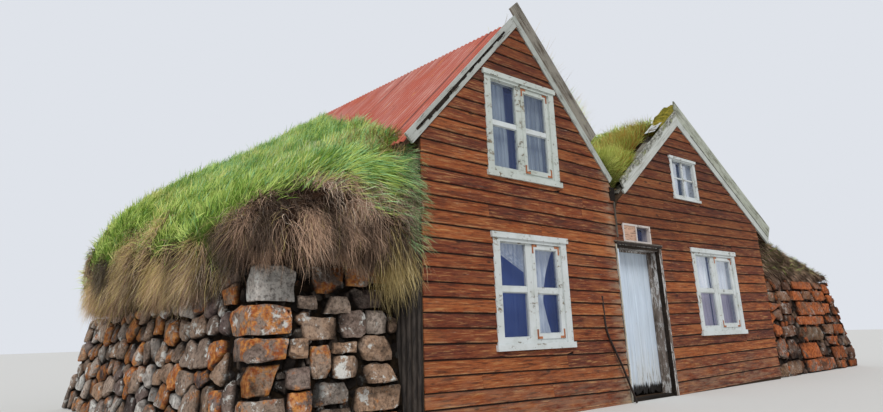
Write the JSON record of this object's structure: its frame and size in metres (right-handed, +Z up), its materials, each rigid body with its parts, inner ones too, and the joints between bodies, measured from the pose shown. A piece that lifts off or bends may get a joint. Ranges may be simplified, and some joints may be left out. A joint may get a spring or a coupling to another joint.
{
  "type": "turf house",
  "caption": "Twin-gabled turf house with a boarded front, plank door, iron and turf roofs, and battered stone and turf walls at the sides and back.",
  "frame": {"origin": "middle of the footprint's bounding box, on the ground", "axes": "+X to the right along the boarded front, +Y from the front into the house, +Z up"},
  "size_m": [12.75, 5.79, 4.6139],
  "materials": {
    "stone": "rough field stone with lichen",
    "turf": "earth turf grown over with long grass",
    "wall_boards": "weathered red brown lapped boards",
    "grey_boards": "weathered grey white boards",
    "rough_timber": "rough sawn timber",
    "white_paint": "flaking white paint on wood",
    "door_paint": "peeling pale blue white paint on planks",
    "glass": "old window glass",
    "curtain": "thin white cotton",
    "roof_iron": "faded red paint on corrugated iron",
    "dark_iron": "dark rusted iron"
  },
  "bodies": {
    "house": {"attic_window_frame": "white_paint", "attic_window_sashes": "white_paint", "back_stone_wall": "stone", "back_turf_wall": "turf", "big_bargeboard_left": "grey_boards", "big_bargeboard_right": "grey_boards", "big_front_wall": "wall_boards", "big_roof_boards_left": "rough_timber", "big_roof_boards_right": "rough_timber", "big_roof_iron": "roof_iron", "big_roof_turf_right": "turf", "big_verge_plank": "grey_boards", "door_frame": "grey_boards", "door_head_strip": "dark_iron", "door_head_wall": "wall_boards", "door_pintles": "dark_iron", "ground_floor": "rough_timber", "leaning_bar": "dark_iron", "left_roof_turf": "turf", "left_side_wall": "rough_timber", "left_stone_wall": "stone", "left_turf_bank": "turf", "loft_floor": "rough_timber", "loft_joists": "rough_timber", "lower_window_frame": "white_paint", "lower_window_sashes": "white_paint", "rafters": "rough_timber", "right_side_wall": "rough_timber", "right_stone_wall": "stone", "right_turf_bank": "turf", "right_window_frame": "white_paint", "right_window_sashes": "white_paint", "side_iron_panel": "dark_iron", "small_bargeboard_left": "grey_boards", "small_bargeboard_right": "grey_boards", "small_front_wall": "wall_boards", "small_gable_wall": "wall_boards", "small_roof_boards_left": "rough_timber", "small_roof_boards_right": "rough_timber", "small_roof_turf_left": "turf", "small_roof_turf_right": "turf", "small_verge_plank_left": "grey_boards", "small_verge_plank_right": "grey_boards", "threshold": "rough_timber", "transom_frame": "white_paint", "transom_glass": "glass", "upper_window_frame": "white_paint", "upper_window_sashes": "white_paint", "valley_beam": "rough_timber", "valley_posts": "rough_timber", "valley_turf": "turf", "valley_wall": "rough_timber", "window_curtains": "curtain", "window_glass": "glass"},
    "door": {"door_leaf": "door_paint", "door_straps": "dark_iron"}
  },
  "joints": [
    {"name": "door_hinge", "type": "hinge", "parent": "house", "child": "door", "pos_m": [-1.444, -2.605, 0.9], "axis": [0, 0, 1], "range_deg": [0, 95]}
  ]
}
